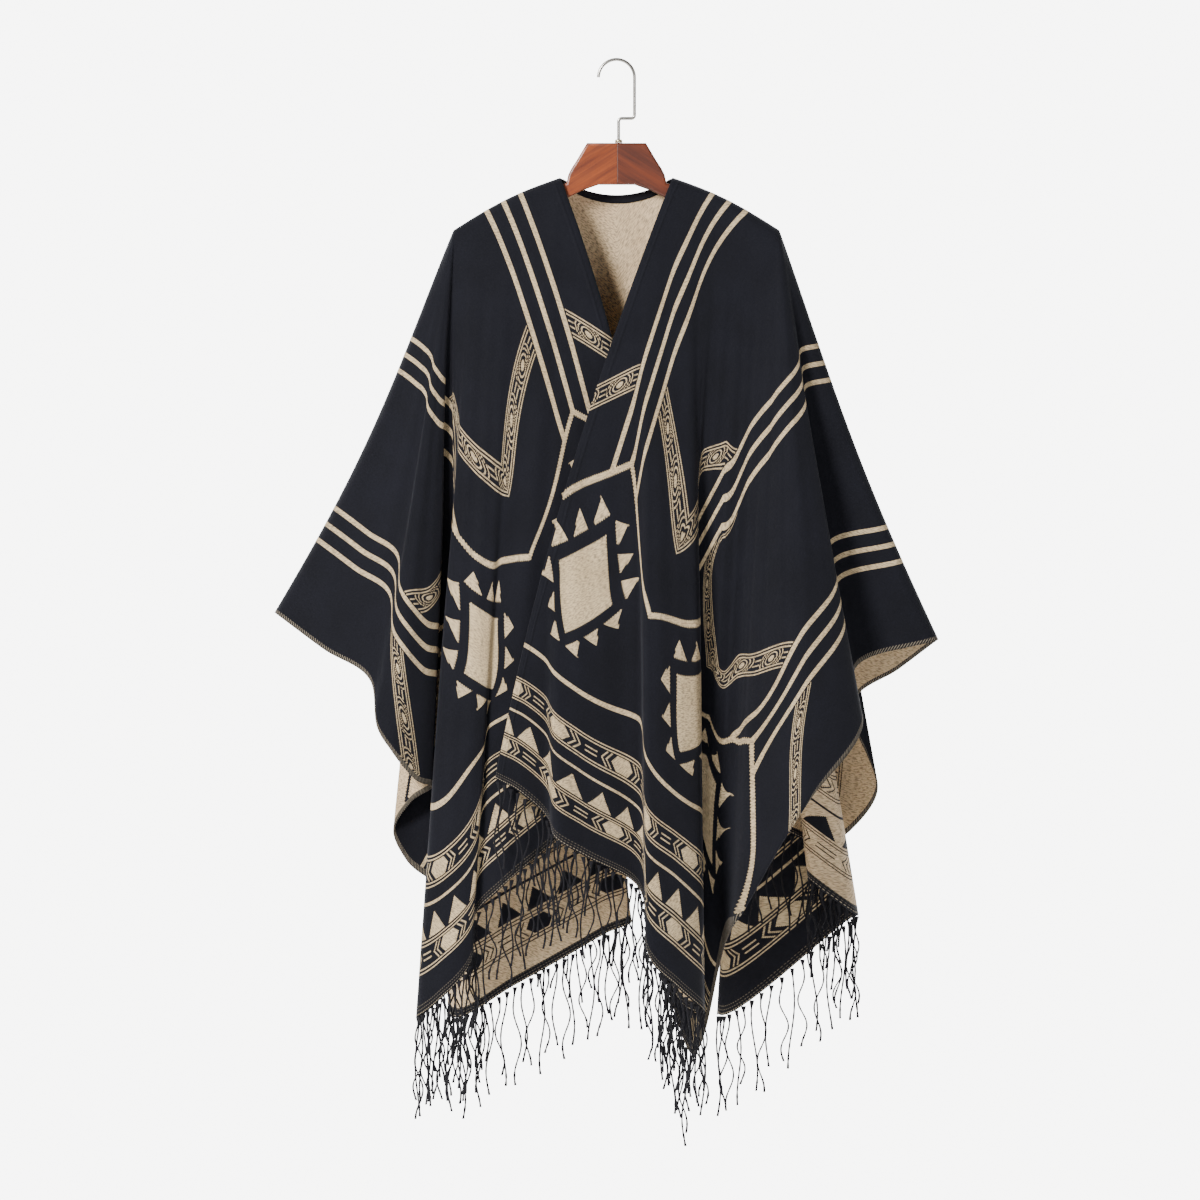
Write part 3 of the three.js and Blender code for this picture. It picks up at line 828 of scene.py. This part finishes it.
class Finish:
    """A material with its shader, and the few kinds of node that the finishes use."""

    def __init__(self, name):
        self.material = bpy.data.materials.new(name)
        self.material.use_nodes = True
        self.tree = self.material.node_tree
        self.shader = self.tree.nodes["Principled BSDF"]

    def node(self, kind, settings=None, inputs=None):
        made = self.tree.nodes.new(kind)
        for key, value in (settings or {}).items():
            setattr(made, key, value)
        for key, value in (inputs or {}).items():
            self.feed(made.inputs[key], value)
        return made

    def feed(self, socket, value):
        if isinstance(value, Value):
            self.tree.links.new(value.socket, socket)
        elif hasattr(value, "is_output"):
            self.tree.links.new(value, socket)
        else:
            socket.default_value = value

    def set(self, **values):
        for key, value in values.items():
            self.feed(self.shader.inputs[key.replace("_", " ")], value)

    def value(self, socket):
        return Value(self.tree, socket)

    def flat_place(self):
        """Place on the flat cloth, in millimetres."""
        spot = self.node("ShaderNodeUVMap", {"uv_map": "UVMap"})
        parts = self.node("ShaderNodeSeparateXYZ", inputs={0: spot.outputs[0]})
        return self.value(parts.outputs[0]) * 1000.0, self.value(parts.outputs[1]) * 1000.0

    def point(self):
        """Place in space, in millimetres."""
        spot = self.node("ShaderNodeTexCoord")
        parts = self.node("ShaderNodeSeparateXYZ", inputs={0: spot.outputs["Object"]})
        return [self.value(out) * 1000.0 for out in parts.outputs]

    def noise(self, x, y, z=0.0, detail=2.0):
        """Soft noise from 0 to 1, whose blobs are about one unit of x, y and z across."""
        spot = self.node("ShaderNodeCombineXYZ", inputs={0: x, 1: y, 2: z})
        cloud = self.node(
            "ShaderNodeTexNoise", inputs={"Vector": spot.outputs[0], "Scale": 1.0, "Detail": detail}
        )
        return self.value(cloud.outputs[0])

    def mix(self, share, first, second):
        """Colour between the first and the second."""
        node = self.node("ShaderNodeMix", {"data_type": "RGBA"}, {0: share, 6: first, 7: second})
        return node.outputs[2]

    def bump(self, height, distance, strength):
        """Relief of a height in millimetres."""
        node = self.node(
            "ShaderNodeBump",
            inputs={"Height": height, "Distance": distance * MM, "Strength": strength},
        )
        self.set(Normal=node.outputs[0])


def side_lines(across, half):
    """Two thin lines along each side of a band."""
    first = across.line(half - SIDE_LINE["first"], SIDE_LINE["half"])
    return first.either(across.line(half - SIDE_LINE["second"], SIDE_LINE["half"]))


def border_band(u, across):
    """Hem border: long hexagons, chevrons that point away from them, and dashes."""
    half = PATTERN["border"] / 2
    spot = u.away(PATTERN["hexagons"], 0.0)
    lean = spot + across * HEXAGON["slope"]
    inner = lean.inside(HEXAGON["half"])
    for chevron in HEXAGON["chevrons"]:
        inner = inner.either(lean.line(chevron, HEXAGON["chevron_half"]))
    dashes = across.line(BORDER_DASH["across"], BORDER_DASH["half"])
    inner = inner.either(dashes * spot.beyond(BORDER_DASH["from"]))
    inner = inner * across.inside(half - BORDER_DASH["margin"])
    return side_lines(across, half).either(inner) * across.inside(half)


def zigzag_band(along, across):
    """Band that runs along the zigzag: rings with a solid middle, arcs and dashes."""
    half = PATTERN["braid"] / 2
    spot = along.away(PATTERN["rings"], 0.0)
    ring = (spot * spot * (1 / RING["long"]) + across * across * (1 / RING["wide"])).math("SQRT")
    inner = ring.inside(RING["middle"], 0.1).either(abs(ring - 1.0).inside(0.09, 0.06))
    for arc in RING["arcs"]:
        inner = inner.either(abs(ring - arc).inside(0.07, 0.05))
    dashes = across.line(BRAID_DASH["across"], BRAID_DASH["half"])
    inner = (inner * spot.inside(RING["reach"])).either(dashes * spot.beyond(BRAID_DASH["from"]))
    inner = inner * across.inside(half - BRAID_DASH["margin"])
    return side_lines(across, half).either(inner) * across.inside(half)


def medallion(column, rise):
    """Diamond in a plain frame, with three rays on each of its sides."""
    reach = column + rise
    diamond = reach.inside(PATTERN["diamond"])
    out = (reach - PATTERN["diamond"]) * HALF_ROOT - PATTERN["frame"]
    along = abs(column - rise) * HALF_ROOT
    beside = along.away(PATTERN["ray_step"], 0.0)
    spread = beside + out * (PATTERN["ray_half"] / PATTERN["ray"])
    rays = spread.inside(PATTERN["ray_half"]) * out.beyond(0.0)
    return diamond.either(rays * along.inside(1.5 * PATTERN["ray_step"]))


def motifs(u, height):
    """Light motifs of the woven pattern: u is the distance from the opening edge and
    height the distance above the hem. Slanting edges run in the weave's small steps."""
    repeat = PATTERN["repeat"]
    peak = PATTERN["peak"]
    stepped = u.stepped(PATTERN["step"])
    column = stepped.away(repeat, PATTERN["first"])
    coarse = u.stepped(2.0 * PATTERN["step"]).away(repeat, PATTERN["first"])
    light = abs(height + coarse - peak).inside(PATTERN["line"] * HALF_ROOT)
    for offset in (-PATTERN["stripe_gap"], 0.0, PATTERN["stripe_gap"]):
        stripe = u.away(repeat, PATTERN["first"] + offset).inside(PATTERN["line"] / 2)
        light = light.either(stripe * height.beyond(peak - abs(offset)))
    across = abs(height + column - PATTERN["band"]) * HALF_ROOT
    braid = zigzag_band(column * ROOT - BRAID_DASH["start"], across)
    light = light.either(braid * column.beyond(PATTERN["stripe_gap"] + 5.0))
    light = light.either(medallion(coarse, abs(height - PATTERN["medallion"])))
    for low in PATTERN["borders"]:
        light = light.either(border_band(stepped, abs(height - low - PATTERN["border"] / 2)))
    tooth = (height - PATTERN["teeth"]) * (1.0 / PATTERN["tooth_height"])
    spread = stepped.away(TOOTH["repeat"], 0.0) + tooth * TOOTH["half"]
    teeth = spread.inside(TOOTH["half"]) * tooth.beyond(0.0, 0.02)
    light = light.either(teeth * tooth.inside(1.0, 0.02))
    light = light.either(height.line(PATTERN["thin_line"], 1.5))
    return light.either(height.line(PATTERN["thick_line"], 2.9))


def cloth_finish(name, outer, opening):
    """Two-faced woven cloth: dark ground and light motifs outside, the reverse inside."""
    finish = Finish(name)
    u, height = finish.flat_place()
    light = motifs(u, height)
    # The inside ground takes the beige painted lighter: painted light on the shaded inside faces
    ground, motif = (NAVY, BEIGE) if outer else (BEIGE_INSIDE_PAINTED_LIGHT, NAVY)
    along = u + height
    aslant = u - height
    twill = finish.noise(along * 0.2, aslant * 0.75, detail=3.0)
    cloudy = finish.noise(u * 0.015, height * 0.015)
    fleck = finish.noise(along * 0.12, aslant * 0.62, 7.0).beyond(0.53, 0.1)
    tone = (twill * 0.7 + cloudy * 0.6 - 0.15).beyond(0.5, 0.5)
    ground_colour = finish.mix(tone, ground[0], ground[1])
    motif_colour = finish.mix(tone, motif[0], motif[1])
    colour = finish.mix(light, ground_colour, motif_colour)
    pale = light if outer else 1.0 - light
    colour = finish.mix(fleck * pale * 0.55, colour, FLECK)
    hem = height.inside(STITCH["hem"])
    side = u.beyond(HALF_WIDTH - STITCH["side"])
    rows = height.away(STITCH["row"], STITCH["row"] / 2).inside(0.45, 0.4)
    dash = u.away(STITCH["dash"], 0.0).inside(1.0, 0.4) * rows
    stitched = hem.either(side)
    slant = along.away(STITCH["row"], 0.0).inside(0.5) * side
    colour = finish.mix(stitched, colour, THREAD)
    lowest = height.inside(2.6) * 0.55 + 0.2
    colour = finish.mix(dash * hem * lowest + slant * 0.5, colour, THREAD_LIGHT)
    relief = twill * 0.7 + cloudy * 5.0 + light * 0.4
    relief = relief + stitched * rows * 1.2
    if opening:
        relief = relief + abs(u - TAPE_WIDTH).inside(1.5, 2.5) * 1.6
    finish.set(Base_Color=colour, Roughness=0.92 - 0.05 * pale)
    finish.shader.inputs["Sheen Weight"].default_value = 0.05 if outer else 0.04
    finish.shader.inputs["Sheen Roughness"].default_value = 0.5
    finish.shader.inputs["Sheen Tint"].default_value = (0.75, 0.78, 0.95, 1)
    finish.shader.inputs["Specular IOR Level"].default_value = 0.18
    finish.bump(relief, 1.0, 0.55)
    return finish.material


def yarn_finish(name, colours):
    finish = Finish(name)
    x, y, z = finish.point()
    grain = finish.noise(x * 1.2, y * 1.2, z * 1.2)
    colour = finish.mix(grain.beyond(0.5, 0.4), colours[0], colours[1])
    finish.set(Base_Color=colour, Roughness=0.9 - 0.1 * grain)
    finish.shader.inputs["Specular IOR Level"].default_value = 0.2
    finish.bump(grain, 0.4, 0.5)
    return finish.material


def wood_finish():
    """Varnished wood: the halves meet in a seam, the grain runs down along each arm."""
    finish = Finish("varnished_wood")
    x, y, z = finish.point()
    seam = x - SEAM
    right = seam.beyond(0.0, 0.6)
    slope = abs(seam) * 0.62 + z
    streak = finish.noise(abs(seam) * 0.012, slope * 0.16, right * 9.0, detail=5.0)
    fine = finish.noise(abs(seam) * 0.05, slope * 0.9, right * 3.0 + y * 0.1, detail=3.0)
    left_colour = finish.mix(streak.beyond(0.5, 0.4), WOOD_LEFT[0], WOOD_LEFT[1])
    right_colour = finish.mix(streak.beyond(0.5, 0.4), WOOD_RIGHT[0], WOOD_RIGHT[1])
    colour = finish.mix(right, left_colour, right_colour)
    colour = finish.mix(fine.beyond(0.6, 0.3) * 0.35, colour, WOOD_RIGHT[0])
    colour = finish.mix(abs(seam).inside(0.35, 0.5) * 0.6, colour, WOOD_SEAM)
    finish.set(Base_Color=colour, Roughness=0.38 + 0.1 * fine)
    finish.shader.inputs["Coat Weight"].default_value = 0.12
    finish.shader.inputs["Coat Roughness"].default_value = 0.15
    finish.bump(fine - abs(seam).inside(0.4, 0.5) * 2.0, 0.2, 0.4)
    return finish.material


def metal_finish(name, colour, roughness):
    finish = Finish(name)
    x, y, z = finish.point()
    brushed = finish.noise(x * 0.8, y * 0.8, z * 0.15)
    finish.set(Base_Color=colour, Metallic=1.0, Roughness=roughness + 0.12 * brushed)
    finish.bump(brushed, 0.05, 0.3)
    return finish.material


def mesh_of(curve_object):
    """Turns a curve object into a mesh with its place in its vertices."""
    graph = bpy.context.evaluated_depsgraph_get()
    mesh = bpy.data.meshes.new_from_object(curve_object.evaluated_get(graph))
    bpy.data.objects.remove(curve_object)
    return mesh


def hook(material):
    """Round wire: an open bend, a straight side, a square jog and a stem."""
    wire, bend, side, jog, corner = HOOK.values()
    centre = wire - bend
    foot = centre - side
    floor = foot - corner
    stem = bend - jog
    path = []
    for k in range(25):
        angle = math.pi * (1 - k / 24)
        path.append((bend * math.cos(angle), centre + bend * math.sin(angle)))
    for k in range(9):
        angle = -math.pi / 2 * k / 8
        path.append((bend - corner + corner * math.cos(angle), foot + corner * math.sin(angle)))
    for k in range(9):
        angle = math.pi / 2 * (1 + k / 8)
        x = stem + corner + corner * math.cos(angle)
        path.append((x, floor - corner + corner * math.sin(angle)))
    path.append((stem, WOOD["top"] + SEAM_GAP))
    curve = bpy.data.curves.new("hook_line", "CURVE")
    curve.dimensions = "3D"
    curve.bevel_depth = wire * MM
    curve.bevel_resolution = 6
    curve.use_fill_caps = True
    spline = curve.splines.new("POLY")
    spline.points.add(len(path) - 1)
    for place, (x, z) in zip(spline.points, path):
        place.co = (x * MM, 0, z * MM, 1)
    line = bpy.data.objects.new("hook_line", curve)
    bpy.context.scene.collection.objects.link(line)
    piece = add_object("squared_hook", mesh_of(line))
    return finish_piece(piece, ["hanger_hook"], [material])


def ferrule(material):
    """Small ring at the foot of the hook's stem."""
    inner, outer, height = FERRULE.values()
    profile = [(inner, 0), (outer, 0), (outer, height - 1), (outer - 1, height), (inner, height)]
    built = bmesh.new()
    foot = Vector((HOOK["bend"] - HOOK["jog"], 0, WOOD["top"] + SEAM_GAP))
    verts = [built.verts.new((Vector((r, 0, h)) + foot) * MM) for r, h in profile]
    face = built.faces.new(verts)
    bmesh.ops.spin(
        built,
        geom=[face, *verts, *face.edges],
        cent=foot * MM,
        axis=(0, 0, 1),
        angle=2 * math.pi,
        steps=32,
        use_merge=True,
    )
    caps = [face for face in built.faces if len(face.verts) > 4]
    bmesh.ops.delete(built, geom=caps, context="FACES")
    bmesh.ops.recalc_face_normals(built, faces=built.faces)
    mesh = bpy.data.meshes.new("hook_ferrule")
    built.to_mesh(mesh)
    built.free()
    piece = add_object("hook_ferrule", mesh)
    return finish_piece(piece, ["hanger_ferrule"], [material])


def wood(material):
    """Flat wooden hanger with rounded edges; its arms run under the shoulder line."""
    seat = [shoulder_point(np.float64(along), 1) for along in ARM_SEAT["stations"]]
    right = list(zip(WOOD_NECK["x"], WOOD_NECK["z"]))
    right += [(point[0], point[2] - ARM_SEAT["below"]) for point in seat]
    right += list(zip(WOOD_UNDERSIDE["x"], WOOD_UNDERSIDE["z"]))
    outline = right + [(-x, z) for x, z in reversed(right)]
    curve = bpy.data.curves.new("hanger_line", "CURVE")
    curve.dimensions = "2D"
    curve.fill_mode = "BOTH"
    curve.extrude = (WOOD["thickness"] / 2 - WOOD["round"]) * MM
    curve.bevel_depth = WOOD["round"] * MM
    curve.bevel_resolution = 4
    curve.offset = -WOOD["round"] * MM
    spline = curve.splines.new("POLY")
    spline.points.add(len(outline) - 1)
    spline.use_cyclic_u = True
    for place, (x, z) in zip(spline.points, outline):
        place.co = (x * MM, z * MM, 0, 1)
    line = bpy.data.objects.new("hanger_line", curve)
    bpy.context.scene.collection.objects.link(line)
    mesh = mesh_of(line)
    mesh.transform(Matrix.Rotation(math.pi / 2, 4, "X"))
    piece = add_object("wooden_hanger", mesh)
    for face in mesh.polygons:
        face.use_smooth = len(face.vertices) <= 4
    return finish_piece(piece, ["hanger_wood"], [material])


def camera():
    """Straight front view through a long lens."""
    lens = bpy.data.cameras.new("camera")
    lens.sensor_width = 36
    lens.lens = 36 * VIEW["distance"] / VIEW["width"]
    lens.clip_end = 100
    view = bpy.data.objects.new("camera", lens)
    view.location = (VIEW["x"], -VIEW["distance"], VIEW["z"])
    view.rotation_euler = (math.pi / 2, 0, 0)
    bpy.context.scene.collection.objects.link(view)
    bpy.context.scene.camera = view


def lamp(name, place, aim, size, power, colour):
    light = bpy.data.lights.new(name, "AREA")
    light.shape = "DISK"
    light.size = size
    light.energy = power
    light.color = colour
    holder = bpy.data.objects.new(name, light)
    holder.location = place
    holder.rotation_euler = (Vector(aim) - Vector(place)).to_track_quat("-Z", "Y").to_euler()
    bpy.context.scene.collection.objects.link(holder)


def studio():
    """Soft room light, brightest behind the object, two lamps and a pale floor."""
    world = bpy.data.worlds.new("studio")
    world.use_nodes = True
    tree = world.node_tree
    sky = tree.nodes["Background"]
    sky.inputs["Color"].default_value = ROOM["air"]
    spot = tree.nodes.new("ShaderNodeTexCoord")
    parts = tree.nodes.new("ShaderNodeSeparateXYZ")
    tree.links.new(spot.outputs["Generated"], parts.inputs[0])
    behind = Value(tree, parts.outputs[1]).beyond(ROOM["turn"], ROOM["blend"])
    strength = ROOM["front"] + behind * (ROOM["behind"] - ROOM["front"])
    tree.links.new(strength.socket, sky.inputs["Strength"])
    bpy.context.scene.world = world
    for name, place, size, power, colour in LAMPS:
        lamp(name, place, LAMP_AIM, size, power, colour)
    built = bmesh.new()
    bmesh.ops.create_grid(built, x_segments=1, y_segments=1, size=ROOM["half"])
    mesh = bpy.data.meshes.new("floor")
    built.to_mesh(mesh)
    built.free()
    floor = bpy.data.objects.new("floor", mesh)
    floor.location = (0, 0, ROOM["floor"])
    bpy.context.scene.collection.objects.link(floor)
    finish = Finish("pale_floor")
    finish.set(Base_Color=ROOM["paint"], Roughness=0.9)
    mesh.materials.append(finish.material)


def across_side(start, count):
    """Stations along one side of a hem, the same as the solids have, for the fringe."""
    arm = np.linspace(start, SHOULDER, count)
    beyond_arm = np.linspace(SHOULDER, HALF_WIDTH, FRINGE_STATIONS)[1:]
    return np.concatenate([arm, beyond_arm])


def garment():
    """All the cloth, tapes and fringes, by name."""
    opening, whole = (
        [cloth_finish(name, True, taped), cloth_finish(name + "_inside", False, taped)]
        for name, taped in (("cloth_front", True), ("cloth_back", False))
    )
    binding = yarn_finish("navy_tape", (NAVY[0], NAVY[1]))
    black = yarn_finish("black_yarn", (YARN_BLACK, YARN_GREY))
    pieces = {}
    for side, sign, folds, pulls, bow, first in (
        ("right", 1, RIGHT_FOLDS, RIGHT_PULLS, 0.35, 0),
        ("left", -1, LEFT_FOLDS, LEFT_PULLS, 1.1, 70),
    ):
        length = FRONT_LENGTH[side]
        place = front_map(folds, length, sign, bow)
        across = np.linspace(0, HALF_WIDTH, GRID["front"])[::sign]

        def top(u):
            return SEAM_GAP + 0 * u

        def foot(u):
            return length + 0 * u

        pieces[f"front_{side}"] = panel(
            f"woven_front_{side}", f"cloth_front_{side}", place, across, top, foot,
            GRID["down"], lambda flat: pulled(flat, pulls), opening,
        )
        strip = np.linspace(0, TAPE_WIDTH, 4)[::sign]
        pieces[f"tape_{side}"] = tape(
            f"edge_tape_{side}", f"tape_front_{side}", place, strip, top, length - SEAM_GAP,
            GRID["down"], binding,
        )
        stations = np.concatenate([[0], across_side(TAPE_WIDTH, 5)])
        pieces[f"fringe_{side}"] = fringe(
            f"yarns_front_{side}", f"fringe_front_{side}", place, stations, foot, first, black
        )

    place = back_map(BACK_FOLDS)

    def back_top(u):
        return SEAM_GAP + neck_drop(u)

    across = np.linspace(HALF_BACK, -HALF_BACK, GRID["back"])
    pieces["back"] = panel(
        "woven_back", "cloth_back", place, across, back_top, back_height, GRID["down"],
        lambda flat: np.stack([np.abs(flat[..., 0]) - NECK_HALF_GAP, flat[..., 1]], -1), whole,
    )
    neck = np.linspace(NECK_HALF_GAP - 0.5, 0.5 - NECK_HALF_GAP, 40)
    pieces["tape_neck"] = tape(
        "neck_tape", "tape_neck", place, neck, back_top, TAPE_WIDTH, 5, binding
    )
    side = NECK_HALF_GAP + across_side(0, 5)
    half_neck = np.linspace(0, NECK_HALF_GAP, 5)
    right = np.concatenate([half_neck[1:], side[1:]])
    left = -np.concatenate([half_neck, side[1:]])[::-1]
    pieces["fringe_back_right"] = fringe(
        "yarns_back_right", "fringe_back_right", place, right, back_height, 140, black
    )
    pieces["fringe_back_left"] = fringe(
        "yarns_back_left", "fringe_back_left", place, left, back_height, 210, black
    )
    return pieces


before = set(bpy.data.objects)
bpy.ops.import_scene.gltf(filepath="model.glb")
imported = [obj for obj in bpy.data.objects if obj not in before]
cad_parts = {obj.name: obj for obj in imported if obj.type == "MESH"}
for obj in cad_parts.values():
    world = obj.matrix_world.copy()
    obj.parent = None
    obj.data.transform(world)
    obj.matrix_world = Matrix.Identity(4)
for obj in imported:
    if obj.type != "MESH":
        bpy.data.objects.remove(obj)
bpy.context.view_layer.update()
camera()
studio()
pieces = garment()
pieces["hanger"] = wood(wood_finish())
hook(metal_finish("polished_steel", STEEL, 0.22))
ferrule(metal_finish("satin_brass", BRASS, 0.3))

bpy.context.view_layer.update()
